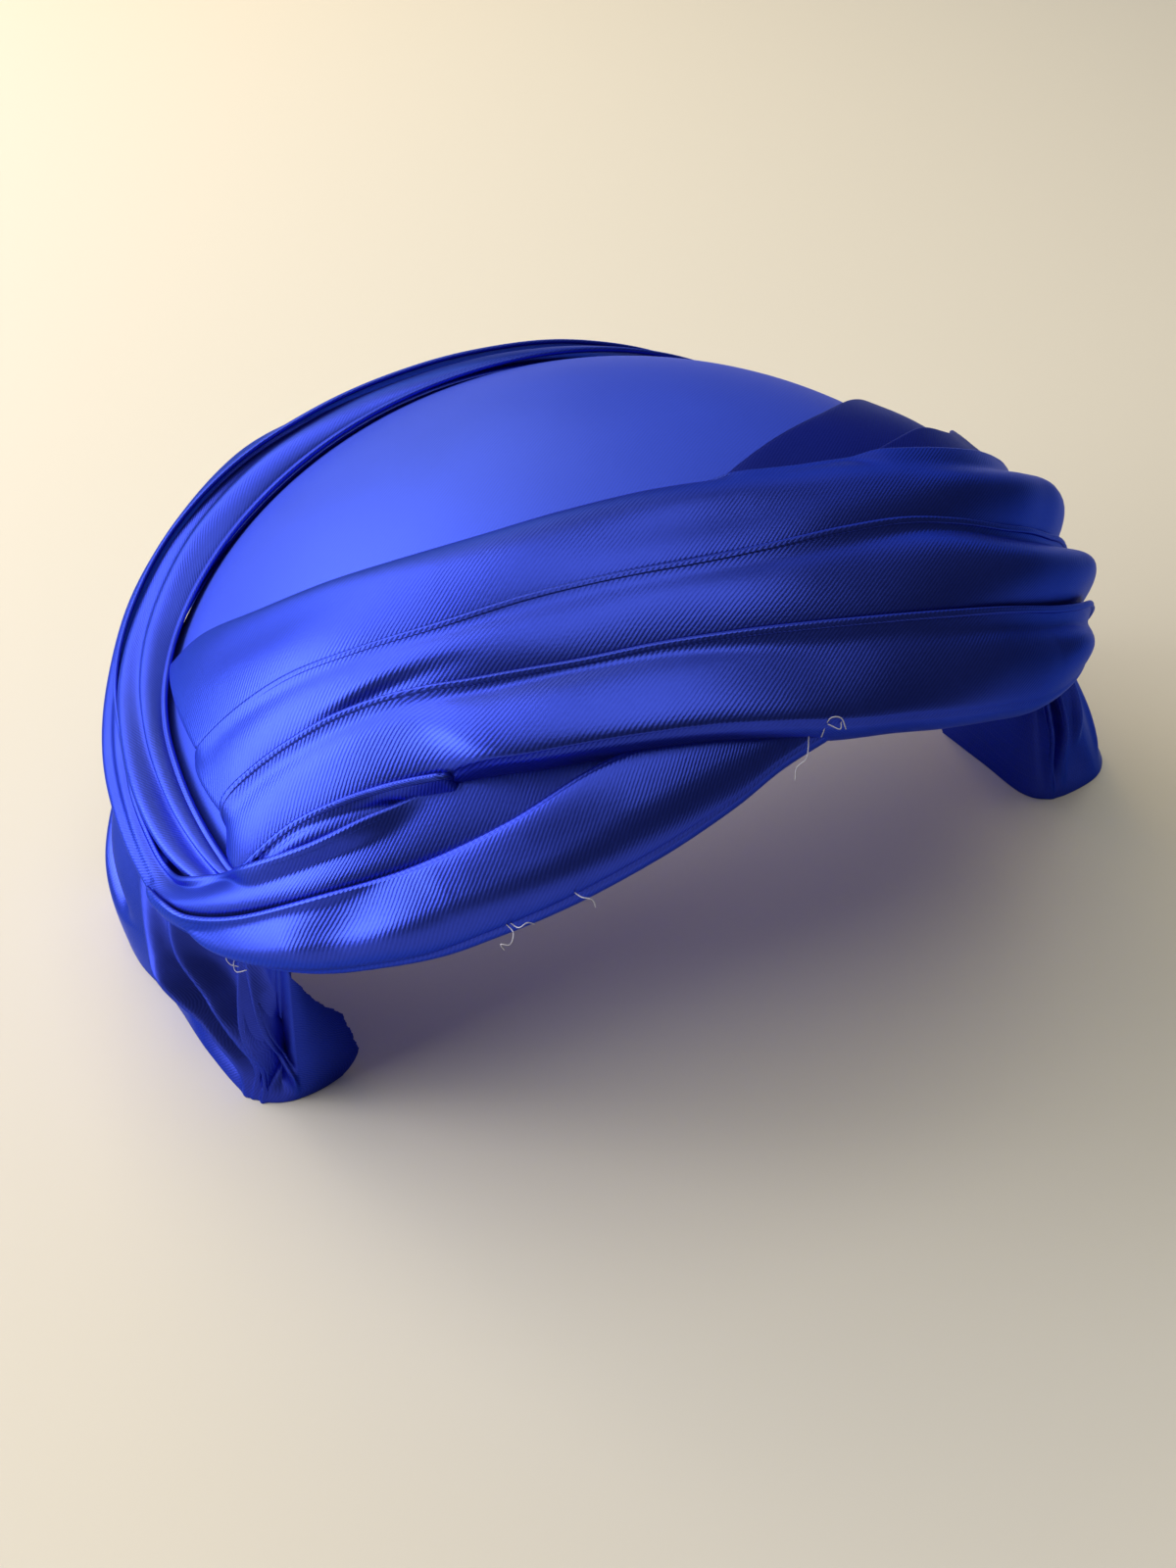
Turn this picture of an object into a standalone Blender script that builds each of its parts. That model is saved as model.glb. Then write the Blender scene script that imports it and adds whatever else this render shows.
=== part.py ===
"""A draped half hat: a stiff band over the head from ear to ear, covered with laid folds of cloth.

Lengths are metres, +Z is up, and the hat stands on its two ear tips with the table at z = 0.
X runs from ear to ear, the front edge faces -Y and the open back faces +Y.

Every piece lies on one egg-shaped dome. A place on the dome is given by three values:
  around   degrees over the head, 0 at the ear tip on the -X side, 90 on top, 180 at the other tip
  across   share of the band's depth, 0 at the front edge and 1 towards the back
  height   metres of cloth outside the dome
"""
import math

import bmesh
import bpy
import numpy as np

# Sizes of the dome
HALF_WIDTH_LEFT = 0.0805
HALF_WIDTH_RIGHT = 0.0835
DOME_DEPTH_HALF = 0.0815
DOME_RISE = 0.0775
DOME_CENTRE_X = -0.0059
DOME_CENTRE_Y = -0.0048
DOME_CENTRE_Z = 0.0030
FRONT_Y = -0.0568
BAND_DEPTH = 0.0970

# Both ends of the dome turn in a little where the band meets the ear
CURL_LEFT = 0.0060
CURL_RIGHT = 0.0160
CURL_REACH_LEFT = 42.0
CURL_REACH_RIGHT = 64.0
CURL_FRONT_GAIN = 2.0
CURL_FRONT_ACROSS = 0.45

# Cloth
FULL_RISE = 0.0100
CROWN_WALL = 0.0024
CLOTH = 0.0011
CLEARANCE = 0.0004
TIP_WALL = 0.0036
TIP_THIN_SHARE = 0.32
UNDERLAP = 0.045

# Where the outer roll's front end passes from over the front fold to under it
CROSSING_AROUND = 50.0

# Mesh steps
STEP = 4.0
WIDE_COLUMNS = 8.0
LOOK_AROUND = 2
LOOK_ACROSS = 0.02

# The stiff crown, a row per place around the head
CROWN = {
    "columns": ("around", "front", "back"),
    "rows": (
        (30.5, 0.290, 0.935),
        (36, 0.195, 0.990),
        (44, 0.110, 1.03),
        (54, 0.065, 1.05),
        (72, 0.040, 1.06),
        (92, 0.040, 1.065),
        (108, 0.038, 1.06),
        (124, 0.070, 1.05),
        (136, 0.125, 1.03),
        (144, 0.220, 0.99),
        (148.5, 0.285, 0.95),
    ),
}

# Folds that cross the band from side to side. Their crisp upper edge lies on the fold above,
# and their lower edge is the upper edge of the fold below, which covers the underlap.
# rise is how far the fold stands off the dome at its fullest and lower_height how far its lower
# edge does, both as shares of FULL_RISE.
FOLDS = {
    "columns": ("around", "upper", "lower", "rise", "lower_height"),
    "side_back_fold": (
        (92, 0.37, 0.30, 0.16, 0.00),
        (100, 0.425, 0.31, 0.16, 0.00),
        (110, 0.500, 0.32, 0.18, 0.00),
        (119, 0.600, 0.35, 0.24, 0.00),
        (125, 0.655, 0.38, 0.28, 0.00),
        (131, 0.700, 0.42, 0.32, 0.00),
        (138, 0.760, 0.46, 0.42, 0.00),
        (144, 0.800, 0.49, 0.46, 0.00),
        (150, 0.820, 0.52, 0.34, 0.00),
    ),
    "side_front_fold": (
        (108, 0.385, 0.31, 0.26, 0.00),
        (114, 0.420, 0.34, 0.32, 0.00),
        (120, 0.468, 0.36, 0.36, 0.00),
        (126, 0.500, 0.40, 0.40, 0.00),
        (131, 0.550, 0.43, 0.44, 0.00),
        (137, 0.620, 0.47, 0.54, 0.00),
        (144, 0.670, 0.50, 0.54, 0.00),
        (150, 0.680, 0.52, 0.38, 0.00),
    ),
    "top_fold": (
        (36, 0.71, 0.51, 0.32, 0.00),
        (50, 0.610, 0.445, 0.38, 0.00),
        (64, 0.495, 0.345, 0.40, 0.00),
        (78, 0.415, 0.275, 0.42, 0.00),
        (92, 0.376, 0.243, 0.46, 0.00),
        (106, 0.376, 0.245, 0.56, 0.00),
        (120, 0.417, 0.262, 0.78, 0.00),
        (126, 0.450, 0.285, 0.94, 0.00),
        (132, 0.482, 0.312, 1.12, 0.00),
        (138, 0.510, 0.340, 1.26, 0.00),
        (144, 0.535, 0.372, 1.10, 0.00),
        (150, 0.555, 0.405, 0.50, 0.00),
    ),
    "upper_fold": (
        (36, 0.51, 0.385, 0.40, 0.00),
        (43, 0.485, 0.395, 0.44, 0.00),
        (50, 0.445, 0.352, 0.46, 0.00),
        (64, 0.345, 0.255, 0.48, 0.00),
        (78, 0.275, 0.185, 0.48, 0.00),
        (92, 0.243, 0.138, 0.50, 0.00),
        (106, 0.245, 0.125, 0.56, 0.00),
        (120, 0.262, 0.137, 0.68, 0.00),
        (126, 0.285, 0.160, 0.78, 0.00),
        (132, 0.312, 0.192, 0.86, 0.00),
        (138, 0.340, 0.230, 0.94, 0.00),
        (144, 0.372, 0.264, 0.80, 0.00),
        (150, 0.405, 0.296, 0.40, 0.00),
    ),
    "front_fold": (
        (36, 0.385, 0.300, 0.46, 0.00),
        (43, 0.395, 0.265, 0.50, 0.00),
        (50, 0.352, 0.236, 0.52, 0.00),
        (57, 0.305, 0.202, 0.54, 0.10),
        (64, 0.255, 0.155, 0.56, 0.34),
        (71, 0.215, 0.120, 0.58, 0.38),
        (78, 0.185, 0.090, 0.56, 0.34),
        (85, 0.158, 0.065, 0.52, 0.28),
        (92, 0.138, 0.043, 0.48, 0.16),
        (106, 0.125, 0.028, 0.48, 0.06),
        (120, 0.137, 0.045, 0.52, 0.04),
        (126, 0.160, 0.078, 0.58, 0.02),
        (132, 0.192, 0.118, 0.60, 0.00),
        (138, 0.230, 0.165, 0.60, 0.00),
        (144, 0.264, 0.208, 0.46, 0.00),
        (150, 0.296, 0.245, 0.22, 0.00),
    ),
    "small_fold": (
        (36, 0.335, 0.300, 0.36, 0.00),
        (43, 0.302, 0.252, 0.46, 0.00),
        (50, 0.258, 0.215, 0.44, 0.00),
        (56, 0.205, 0.172, 0.32, 0.00),
        (60, 0.175, 0.140, 0.24, 0.00),
    ),
}

# Folds that follow a bent path, a row per place along it. upper is the edge towards the crown,
# and rise is a share of FULL_RISE.
PATHS = {
    "columns": ("upper_around", "upper", "lower_around", "lower", "rise"),
    "inner_roll": (
        (135, 0.99, 135, 1.010, 0.15),
        (130, 0.975, 130, 1.035, 0.16),
        (112, 0.975, 112, 1.060, 0.18),
        (90, 0.98, 90, 1.090, 0.30),
        (70, 0.98, 70, 1.095, 0.52),
        (56, 0.965, 55, 1.085, 0.76),
        (46, 0.92, 43, 1.045, 0.84),
        (38.5, 0.84, 33.0, 0.965, 0.82),
        (34.4, 0.75, 28.0, 0.830, 0.74),
        (32.8, 0.66, 26.6, 0.695, 0.68),
        (32.0, 0.56, 26.0, 0.575, 0.64),
        (31.6, 0.46, 26.2, 0.465, 0.56),
        (31.6, 0.385, 28.6, 0.385, 0.40),
    ),
    "outer_roll": (
        (139, 1.03, 139, 1.050, 0.15),
        (133, 1.04, 133, 1.095, 0.16),
        (114, 1.03, 114, 1.12, 0.20),
        (90, 1.035, 90, 1.14, 0.34),
        (70, 1.035, 70, 1.15, 0.60),
        (54, 1.025, 53, 1.14, 0.94),
        (43, 0.985, 40, 1.11, 1.06),
        (35, 0.905, 30, 1.03, 1.04),
        (29.8, 0.805, 24, 0.92, 0.94),
        (27.0, 0.70, 20.6, 0.77, 0.84),
        (25.8, 0.60, 19.8, 0.63, 0.74),
        (25.2, 0.51, 20.6, 0.49, 0.66),
        (26.5, 0.440, 23.2, 0.405, 0.60),
        (29.5, 0.385, 26.3, 0.340, 0.58),
        (35, 0.325, 32, 0.270, 0.56),
        (42.5, 0.262, 39.5, 0.196, 0.50),
        (50, 0.219, 48.5, 0.143, 0.38),
        (57, 0.190, 57, 0.108, 0.28),
        (65, 0.150, 65, 0.088, 0.20),
        (74, 0.120, 74, 0.075, 0.15),
    ),
    "lower_fold": (
        (24.8, 0.440, 24.2, 0.425, 0.46),
        (25.9, 0.400, 24.4, 0.360, 0.52),
        (27.7, 0.345, 25.9, 0.285, 0.58),
        (33, 0.272, 32, 0.185, 0.62),
        (41, 0.202, 41, 0.100, 0.60),
        (49, 0.150, 49, 0.058, 0.56),
        (58, 0.120, 58, 0.030, 0.52),
        (68, 0.112, 68, 0.018, 0.44),
        (77, 0.096, 77, 0.022, 0.32),
        (84, 0.080, 84, 0.036, 0.23),
        (90, 0.066, 90, 0.046, 0.20),
    ),
}

# Gathered ear tips, a row per place from the front flap round the outside to the back.
# foot_out is a share of the dome's left half width. The foot stands on the table and the head is
# tucked under the folds. head_height and bow, how far the cloth bulges outwards between the two,
# are shares of FULL_RISE.
TIPS = {
    "columns": ("foot_out", "foot_across", "head_around", "head_across", "head_height", "bow"),
    "left_tip": (
        (0.670, 0.320, 31, 0.345, -0.65, 0.00),
        (0.725, 0.300, 30.5, 0.290, -0.50, 0.00),
        (0.775, 0.288, 30, 0.266, -0.36, 0.00),
        (0.820, 0.285, 30, 0.259, -0.22, 0.00),
        (0.862, 0.290, 30, 0.264, -0.10, 0.00),
        (0.896, 0.308, 29.7, 0.285, -0.03, 0.02),
        (0.924, 0.345, 29.5, 0.330, 0.00, 0.04),
        (0.952, 0.435, 29.5, 0.430, 0.00, 0.14),
        (0.975, 0.550, 29.5, 0.560, 0.00, 0.34),
        (0.996, 0.650, 29.5, 0.710, 0.00, 0.54),
        (0.995, 0.740, 29.5, 0.830, 0.00, 0.64),
        (0.975, 0.820, 29.5, 0.940, 0.00, 0.56),
    ),
    "right_tip": (
        (0.832, 0.546, 31, 0.520, -0.60, 0.00),
        (0.857, 0.412, 31, 0.420, -0.60, 0.00),
        (0.876, 0.314, 31, 0.335, -0.56, 0.00),
        (0.930, 0.278, 30.5, 0.283, -0.40, 0.00),
        (1.030, 0.280, 30.5, 0.262, -0.20, 0.00),
        (1.125, 0.306, 30.5, 0.280, -0.05, 0.00),
        (1.182, 0.362, 30.5, 0.340, 0.00, 0.00),
        (1.175, 0.450, 30.5, 0.440, 0.00, 0.00),
        (1.150, 0.557, 30.5, 0.570, 0.00, 0.00),
        (1.120, 0.649, 30.5, 0.700, 0.00, 0.00),
        (1.080, 0.742, 30.5, 0.820, 0.00, 0.00),
    ),
}
FOOT_TRIM = 0.003
TIP_HEAD_CELLS = 3
TIP_RIDGES = 6.0
TIP_RIDGE_HEIGHT = 0.0011
TIP_FLAP_FADE = 0.20
TIP_INSIDE = -0.06
TIP_CELLS_UP = 8
TIP_CELLS_ALONG = 22

# Colour of the satin
SATIN = (0.035, 0.045, 0.330, 1.0)


def around_half_width(around, across):
    """Half width of the dome, with the ends turned in near the table, the right front corner most."""
    side = (1.0 - np.cos(np.radians(around))) / 2.0
    half = HALF_WIDTH_LEFT + (HALF_WIDTH_RIGHT - HALF_WIDTH_LEFT) * side
    left = np.clip(1.0 - around / CURL_REACH_LEFT, 0.0, 1.15) ** 2
    right = np.clip(1.0 - (180.0 - around) / CURL_REACH_RIGHT, 0.0, 1.15) ** 2
    gain = np.clip(1.0 + CURL_FRONT_GAIN * (CURL_FRONT_ACROSS - across), 0.4, 1.6)
    return half - CURL_LEFT * left - CURL_RIGHT * right * gain


def place(around, across, height):
    """World position of a place on the dome."""
    y = FRONT_Y + across * BAND_DEPTH
    q = (y - DOME_CENTRE_Y) / DOME_DEPTH_HALF
    s = np.sqrt(np.clip(1.0 - q * q, 0.01, 1.0))
    a = np.radians(around)
    x = DOME_CENTRE_X - np.cos(a) * s * (around_half_width(around, across) + height)
    z = DOME_CENTRE_Z + np.sin(a) * s * (DOME_RISE + height)
    return np.stack([x, DOME_CENTRE_Y + q * (DOME_DEPTH_HALF + height), z], axis=-1)


def smooth_rows(rows, steps):
    """Read a table at evenly spread steps along a smooth curve through its rows."""
    rows = np.array(rows, float)
    count = len(rows)
    padded = np.vstack([2 * rows[0] - rows[1], rows, 2 * rows[-1] - rows[-2]])
    out = []
    for t in np.linspace(0.0, count - 1, steps + 1):
        k = min(int(t), count - 2)
        f = t - k
        p0, p1, p2, p3 = padded[k:k + 4]
        m1 = (p2 - p0) / 2.0
        m2 = (p3 - p1) / 2.0
        out.append((2 * f**3 - 3 * f**2 + 1) * p1 + (f**3 - 2 * f**2 + f) * m1
                   + (-2 * f**3 + 3 * f**2) * p2 + (f**3 - f**2) * m2)
    return np.array(out)


def steps_between(first, last):
    """Places around the head from first to last, about STEP apart."""
    return np.linspace(first, last, 1 + round((last - first) / STEP))


def rows_at(rows, around):
    """Read a table at given places around, along a smooth curve through its rows."""
    fine = smooth_rows(rows, 40 * (len(rows) - 1))
    return np.stack([np.interp(around, fine[:, 0], fine[:, k]) for k in range(fine.shape[1])], -1)


class Stack:
    """Remembers how high the cloth already lies over the dome, piece by piece."""

    def __init__(self):
        self.maps = {}

    def cell(self, around, across):
        i = np.clip(np.rint(around + 10).astype(int), 0, 200)
        j = np.clip(np.rint(across * 100 + 20).astype(int), 0, 160)
        return i, j

    def add(self, name, around, across, height):
        grid = np.zeros((201, 161))
        for f in np.linspace(0, 1, 7):
            for g in np.linspace(0, 1, 7):
                mix = []
                for values in (around, across, height):
                    low = values[:-1, :-1] * (1 - f) + values[1:, :-1] * f
                    high = values[:-1, 1:] * (1 - f) + values[1:, 1:] * f
                    mix.append(low * (1 - g) + high * g)
                np.maximum.at(grid, self.cell(mix[0], mix[1]), mix[2])
        self.maps[name] = grid

    def floor(self, under, around, across):
        """Highest cloth near each place. Each piece under it counts up to its own place around."""
        best = np.zeros(np.shape(around))
        reach = int(round(LOOK_ACROSS * 100))
        for name, last_around in under:
            counts = around <= last_around
            for di in range(-LOOK_AROUND, LOOK_AROUND + 1):
                for dj in range(-reach, reach + 1):
                    cells = self.cell(around + di, across + dj / 100.0)
                    best = np.maximum(best, self.maps[name][cells] * counts)
        return best


STACK = Stack()


def full_shape(share, fullness):
    """Cross-section of a fold: low at both edges, full between them."""
    return np.sin(np.pi * np.clip(share, 0.0, 1.0)) ** fullness


def new_collection(name):
    made = bpy.data.collections.new(name)
    bpy.context.scene.collection.children.link(made)
    return made


def satin(name):
    material = bpy.data.materials.new(name + "_satin")
    material.use_nodes = True
    shader = material.node_tree.nodes["Principled BSDF"]
    shader.inputs["Base Color"].default_value = SATIN
    shader.inputs["Roughness"].default_value = 0.42
    material.diffuse_color = SATIN
    return material


def sheet(name, points, collection, thickness=None):
    """Grid of cloth whose vertices take the positions in points[i][j]; it faces out of the dome.

    thickness, where it is given, is a share of the wall for each point.
    """
    along = len(points)
    over = len(points[0])
    bm = bmesh.new()
    bmesh.ops.create_grid(bm, x_segments=along - 1, y_segments=over - 1, size=0.5)
    shares = []
    for vertex in bm.verts:
        i = round((vertex.co.x + 0.5) * (along - 1))
        j = round((vertex.co.y + 0.5) * (over - 1))
        vertex.co = points[i][j]
        shares.append(1.0 if thickness is None else float(thickness[i][j]))
    for face in bm.faces:
        face.smooth = True
    mesh = bpy.data.meshes.new(name)
    bm.to_mesh(mesh)
    bm.free()
    body = bpy.data.objects.new(name, mesh)
    collection.objects.link(body)
    body.data.materials.append(satin(name))
    if thickness is not None:
        group = body.vertex_groups.new(name="thickness")
        for index, share in enumerate(shares):
            group.add([index], share, "REPLACE")
    return body


def give_wall(body, wall):
    solid = body.modifiers.new("wall", "SOLIDIFY")
    solid.thickness = wall
    solid.offset = -1.0
    return solid


def crown(collection):
    """The stiff band that all the folds are laid on."""
    rows = CROWN["rows"]
    around = steps_between(rows[0][0], rows[-1][0])
    table = rows_at(rows, around)
    share = np.linspace(0.0, 1.0, 11)
    front, back = table[:, 1:2], table[:, 2:3]
    across = front + (back - front) * share
    angles = np.repeat(around[:, None], len(share), 1)
    height = np.zeros_like(across)
    STACK.add("crown", angles, across, height)
    body = sheet("crown", place(angles, across, height), collection)
    give_wall(body, CROWN_WALL)


def lay(name, angles, across, wish, under, collection):
    """Lay one fold: as high as wished, and never closer than the clearance to what is under it.

    With no collection the fold only takes its room in the stack.
    """
    low = STACK.floor(under, angles, across) + CLEARANCE + CLOTH
    height = np.maximum(wish, low)
    eased = height.copy()
    eased[:, 1:-1] = (height[:, :-2] + 2 * height[:, 1:-1] + height[:, 2:]) / 4.0
    eased[1:-1] = (eased[:-2] + 2 * eased[1:-1] + eased[2:]) / 4.0
    height = np.maximum(eased, low)
    STACK.add(name, angles, across, height)
    if collection is None:
        return
    body = sheet(name, place(angles, across, height), collection)
    give_wall(body, CLOTH)


def cross_fold(name, under, underlap, collection):
    """A fold with its ends at two places around the head."""
    rows = FOLDS[name]
    around = steps_between(rows[0][0], rows[-1][0])
    table = rows_at(rows, around)
    upper, lower = table[:, 1:2], table[:, 2:3]
    rise, lift = table[:, 3:4] * FULL_RISE, table[:, 4:5] * FULL_RISE
    columns = 6 + int(np.max(upper - lower) * WIDE_COLUMNS)
    share = (1.0 + np.cos(np.linspace(0.0, math.pi, columns))) / 2.0
    if underlap:
        share = np.concatenate([[1.0 + underlap], share])
    # share is 0 at the upper edge and 1 at the visible lower edge
    visible = np.clip(share, 0.0, 1.0)
    beyond = np.maximum(share - 1.0, 0.0)
    across = upper + (lower - upper) * visible - beyond
    angles = np.repeat(around[:, None], len(share), 1)
    base = CLOTH + CLEARANCE
    wish = base + np.maximum(rise - base, 0.0) * full_shape(visible, 0.8) + lift * visible**2
    lay(name, angles, across, wish, under, collection)


def path_fold(name, steps, under, collection):
    """A fold that follows a bent path."""
    table = smooth_rows(PATHS[name], steps)
    share = np.array([1.0, 0.80, 0.50, 0.20, 0.0])
    angles = table[:, 0:1] + (table[:, 2:3] - table[:, 0:1]) * share
    across = table[:, 1:2] + (table[:, 3:4] - table[:, 1:2]) * share
    rise = table[:, 4:5] * FULL_RISE
    base = CLOTH + CLEARANCE
    wish = base + np.maximum(rise - base, 0.0) * full_shape(share, 0.8)
    lay(name, angles, across, wish, under, collection)


def dome_values(points):
    """Nearest place on the dome, and the height over it, of world positions."""
    x, y, z = points[..., 0] - DOME_CENTRE_X, points[..., 1], points[..., 2]
    lift = (z - DOME_CENTRE_Z) / DOME_RISE
    half = np.where(x < 0, HALF_WIDTH_LEFT, HALF_WIDTH_RIGHT)
    for _ in range(3):
        around = np.degrees(np.arctan2(lift, -x / half))
        half = around_half_width(around, (y - FRONT_Y) / BAND_DEPTH)
    depth = (y - DOME_CENTRE_Y) / DOME_DEPTH_HALF
    size = np.sqrt((x / half) ** 2 + depth**2 + lift**2)
    across = (DOME_CENTRE_Y + (y - DOME_CENTRE_Y) / size - FRONT_Y) / BAND_DEPTH
    return around, across, (size - 1.0) * DOME_DEPTH_HALF


def tip(name, flip, cutter, collection):
    """Gathered cloth at one ear, thick at its foot, which is cut flat where it stands."""
    table = smooth_rows(TIPS[name], TIP_CELLS_ALONG)
    side = 1.0 if flip else -1.0
    foot = np.stack([DOME_CENTRE_X + side * table[:, 0] * HALF_WIDTH_LEFT,
                     FRONT_Y + table[:, 1] * BAND_DEPTH,
                     np.full(len(table), -FOOT_TRIM)], -1)
    head_around = 180.0 - table[:, 2] if flip else table[:, 2]
    head = place(head_around, table[:, 3], table[:, 4] * FULL_RISE)
    up = np.linspace(0.0, 1.0, TIP_CELLS_UP + 1)[:, None]
    along = np.linspace(0.0, 1.0, TIP_CELLS_ALONG + 1)[None, :]
    points = foot[None] + (head - foot)[None] * up[:, :, None]
    swell = np.sin(np.pi * up)
    pleats = np.cos(2 * math.pi * TIP_RIDGES * along**0.8) * TIP_RIDGE_HEIGHT * (1.0 - up**2)
    outside = int(np.argmax(table[:, 4] > TIP_INSIDE))
    past_flap = (along[0] - outside / TIP_CELLS_ALONG) / TIP_FLAP_FADE
    # pleats stand out sideways on the outer wall and forwards on the flap
    turn = np.clip(past_flap + 0.5, 0.0, 1.0)
    outward = np.stack([side * turn, turn - 1.0], -1)
    push = (table[:, 5] * FULL_RISE + pleats) * swell
    points[:, :, :2] += push[:, :, None] * outward[None]
    weights = (1.0 - up) * np.clip(past_flap, 0.0, 1.0)
    STACK.add(name, *dome_values(points[-1 - TIP_HEAD_CELLS:, outside:]))
    if flip:
        points, weights = points[::-1], weights[::-1]
    body = sheet(name, points, collection, weights)
    solid = give_wall(body, TIP_WALL)
    solid.vertex_group = "thickness"
    solid.thickness_vertex_group = TIP_THIN_SHARE
    cut = body.modifiers.new("stand_flat", "BOOLEAN")
    cut.operation = "DIFFERENCE"
    cut.solver = "EXACT"
    cut.object = cutter


def table_cutter(collection):
    """Block below the table that trims the feet of both ear tips flat."""
    bm = bmesh.new()
    bmesh.ops.create_cube(bm, size=1.0)
    for vertex in bm.verts:
        vertex.co.x *= 4 * HALF_WIDTH_LEFT
        vertex.co.y *= 4 * BAND_DEPTH
        vertex.co.z = (vertex.co.z - 0.5) * 0.05
    mesh = bpy.data.meshes.new("table_cutter")
    bm.to_mesh(mesh)
    bm.free()
    body = bpy.data.objects.new("table_cutter", mesh)
    body.hide_render = True
    body.display_type = "WIRE"
    collection.objects.link(body)
    return body


def whole(*names):
    """Pieces that count as lying under another one over their whole length."""
    return [(name, 360.0) for name in names]


def main():
    for old in list(bpy.data.objects):
        bpy.data.objects.remove(old, do_unlink=True)
    hat = new_collection("half_hat")
    cutters = new_collection("cutters")
    cutters.hide_render = True
    cutter = table_cutter(cutters)
    crown(hat)
    tip("left_tip", False, cutter, hat)
    tip("right_tip", True, cutter, hat)
    base = whole("crown", "left_tip", "right_tip")
    path_fold("inner_roll", 34, base, hat)
    path_fold("outer_roll", 54, base + whole("inner_roll"), None)
    rolls = base + whole("inner_roll", "outer_roll")
    cross_fold("side_back_fold", rolls, 0.0, hat)
    cross_fold("side_front_fold", rolls + whole("side_back_fold"), 0.0, hat)
    sides = base + whole("side_back_fold", "side_front_fold")
    cross_fold("top_fold", sides, UNDERLAP, hat)
    cross_fold("upper_fold", sides + whole("top_fold"), UNDERLAP, hat)
    cross_fold("front_fold", sides + whole("top_fold", "upper_fold"), 0.0, hat)
    cross_fold("small_fold", whole("crown", "front_fold"), UNDERLAP, hat)
    beside = base + whole("inner_roll", "small_fold") + [("front_fold", CROSSING_AROUND)]
    path_fold("outer_roll", 54, beside, hat)
    path_fold("lower_fold", 20, base + whole("outer_roll"), hat)


main()
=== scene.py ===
# %% [markdown]
# # A draped half hat in blue satin
# The hat is a stiff band that goes over the head from ear to ear. Folds of satin are laid on it,
# and at each ear the cloth is gathered into a tip that stands on the floor.
#
# The solid model gives the size and place of every piece. The cloth could be modelled by eye, but
# this script loads the solids as a fixed frame and lays a finer piece of cloth over each one, so
# that every piece is in its place from the start.

# %% The frame
import math

import bmesh
import bpy
import numpy as np
from mathutils import Matrix, Vector


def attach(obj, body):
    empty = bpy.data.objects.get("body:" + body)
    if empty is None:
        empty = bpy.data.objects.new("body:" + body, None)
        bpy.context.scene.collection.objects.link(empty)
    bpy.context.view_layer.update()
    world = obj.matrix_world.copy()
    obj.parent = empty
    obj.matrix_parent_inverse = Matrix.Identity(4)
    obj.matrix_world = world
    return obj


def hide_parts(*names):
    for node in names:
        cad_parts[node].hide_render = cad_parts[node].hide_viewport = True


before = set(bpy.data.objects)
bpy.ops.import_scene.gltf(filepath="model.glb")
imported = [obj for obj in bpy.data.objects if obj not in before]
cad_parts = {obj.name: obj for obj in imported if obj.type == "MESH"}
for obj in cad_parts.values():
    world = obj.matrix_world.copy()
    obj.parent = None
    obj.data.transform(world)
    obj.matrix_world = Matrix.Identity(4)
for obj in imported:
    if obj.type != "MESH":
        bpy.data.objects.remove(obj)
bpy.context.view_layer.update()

# %% [markdown]
# The camera comes first, so that every piece can be looked at from the photograph's side. It
# stands in front of the hat and a little to the left, about 26 cm away, and looks down by 45
# degrees. A camera could be aimed with a constraint, but its own matrix keeps the small roll.

# %% The camera
CAMERA_AROUND = math.radians(-27.72)
CAMERA_UP = math.radians(45.0)
CAMERA_ROLL = math.radians(1.01)
CAMERA_DISTANCE = 0.25721
CAMERA_TARGET = Vector((-0.00460, 0.01065, 0.0))
SENSOR_WIDTH = 36.0
LENS = 32.625
NEAREST = 0.01


def make_camera():
    back = Vector((math.sin(CAMERA_AROUND) * math.cos(CAMERA_UP),
                   -math.cos(CAMERA_AROUND) * math.cos(CAMERA_UP), math.sin(CAMERA_UP)))
    right = (-back).cross(Vector((0, 0, 1))).normalized()
    up = right.cross(-back)
    turned_right = right * math.cos(CAMERA_ROLL) + up * math.sin(CAMERA_ROLL)
    turned_up = up * math.cos(CAMERA_ROLL) - right * math.sin(CAMERA_ROLL)
    lens = bpy.data.cameras.new("photo_camera")
    lens.sensor_width = SENSOR_WIDTH
    lens.lens = LENS
    lens.clip_start = NEAREST
    camera = bpy.data.objects.new("photo_camera", lens)
    bpy.context.scene.collection.objects.link(camera)
    place_at = CAMERA_TARGET + back * CAMERA_DISTANCE
    camera.matrix_world = Matrix((
        (turned_right.x, turned_up.x, back.x, place_at.x),
        (turned_right.y, turned_up.y, back.y, place_at.y),
        (turned_right.z, turned_up.z, back.z, place_at.z),
        (0, 0, 0, 1)))
    bpy.context.scene.camera = camera
    return camera


camera = make_camera()
print("camera stands at", [round(v, 3) for v in camera.location])

# %% [markdown]
# Everything lies on one egg-shaped dome. A place on it is given by three values: around, in
# degrees over the head from the left ear, across, as a share of the band's depth from the front
# edge, and height, in metres over the dome. Cloth is easy to lay in these values, because a fold
# is then a narrow strip with a smooth cross-section. In plain x, y and z every fold would have to
# follow the curve of the head by itself.

# %% The dome
HALF_WIDTH_LEFT = 0.0805
HALF_WIDTH_RIGHT = 0.0835
DOME_DEPTH_HALF = 0.0815
DOME_RISE = 0.0775
DOME_CENTRE = (-0.0059, -0.0048, 0.0030)
FRONT_Y = -0.0568
BAND_DEPTH = 0.0970
# At its ends the dome turns in: over how many degrees, and by how many metres.
LEFT_END = (42.0, 0.0060)
RIGHT_END = (64.0, 0.0160)
PAST_END = 1.15


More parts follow.
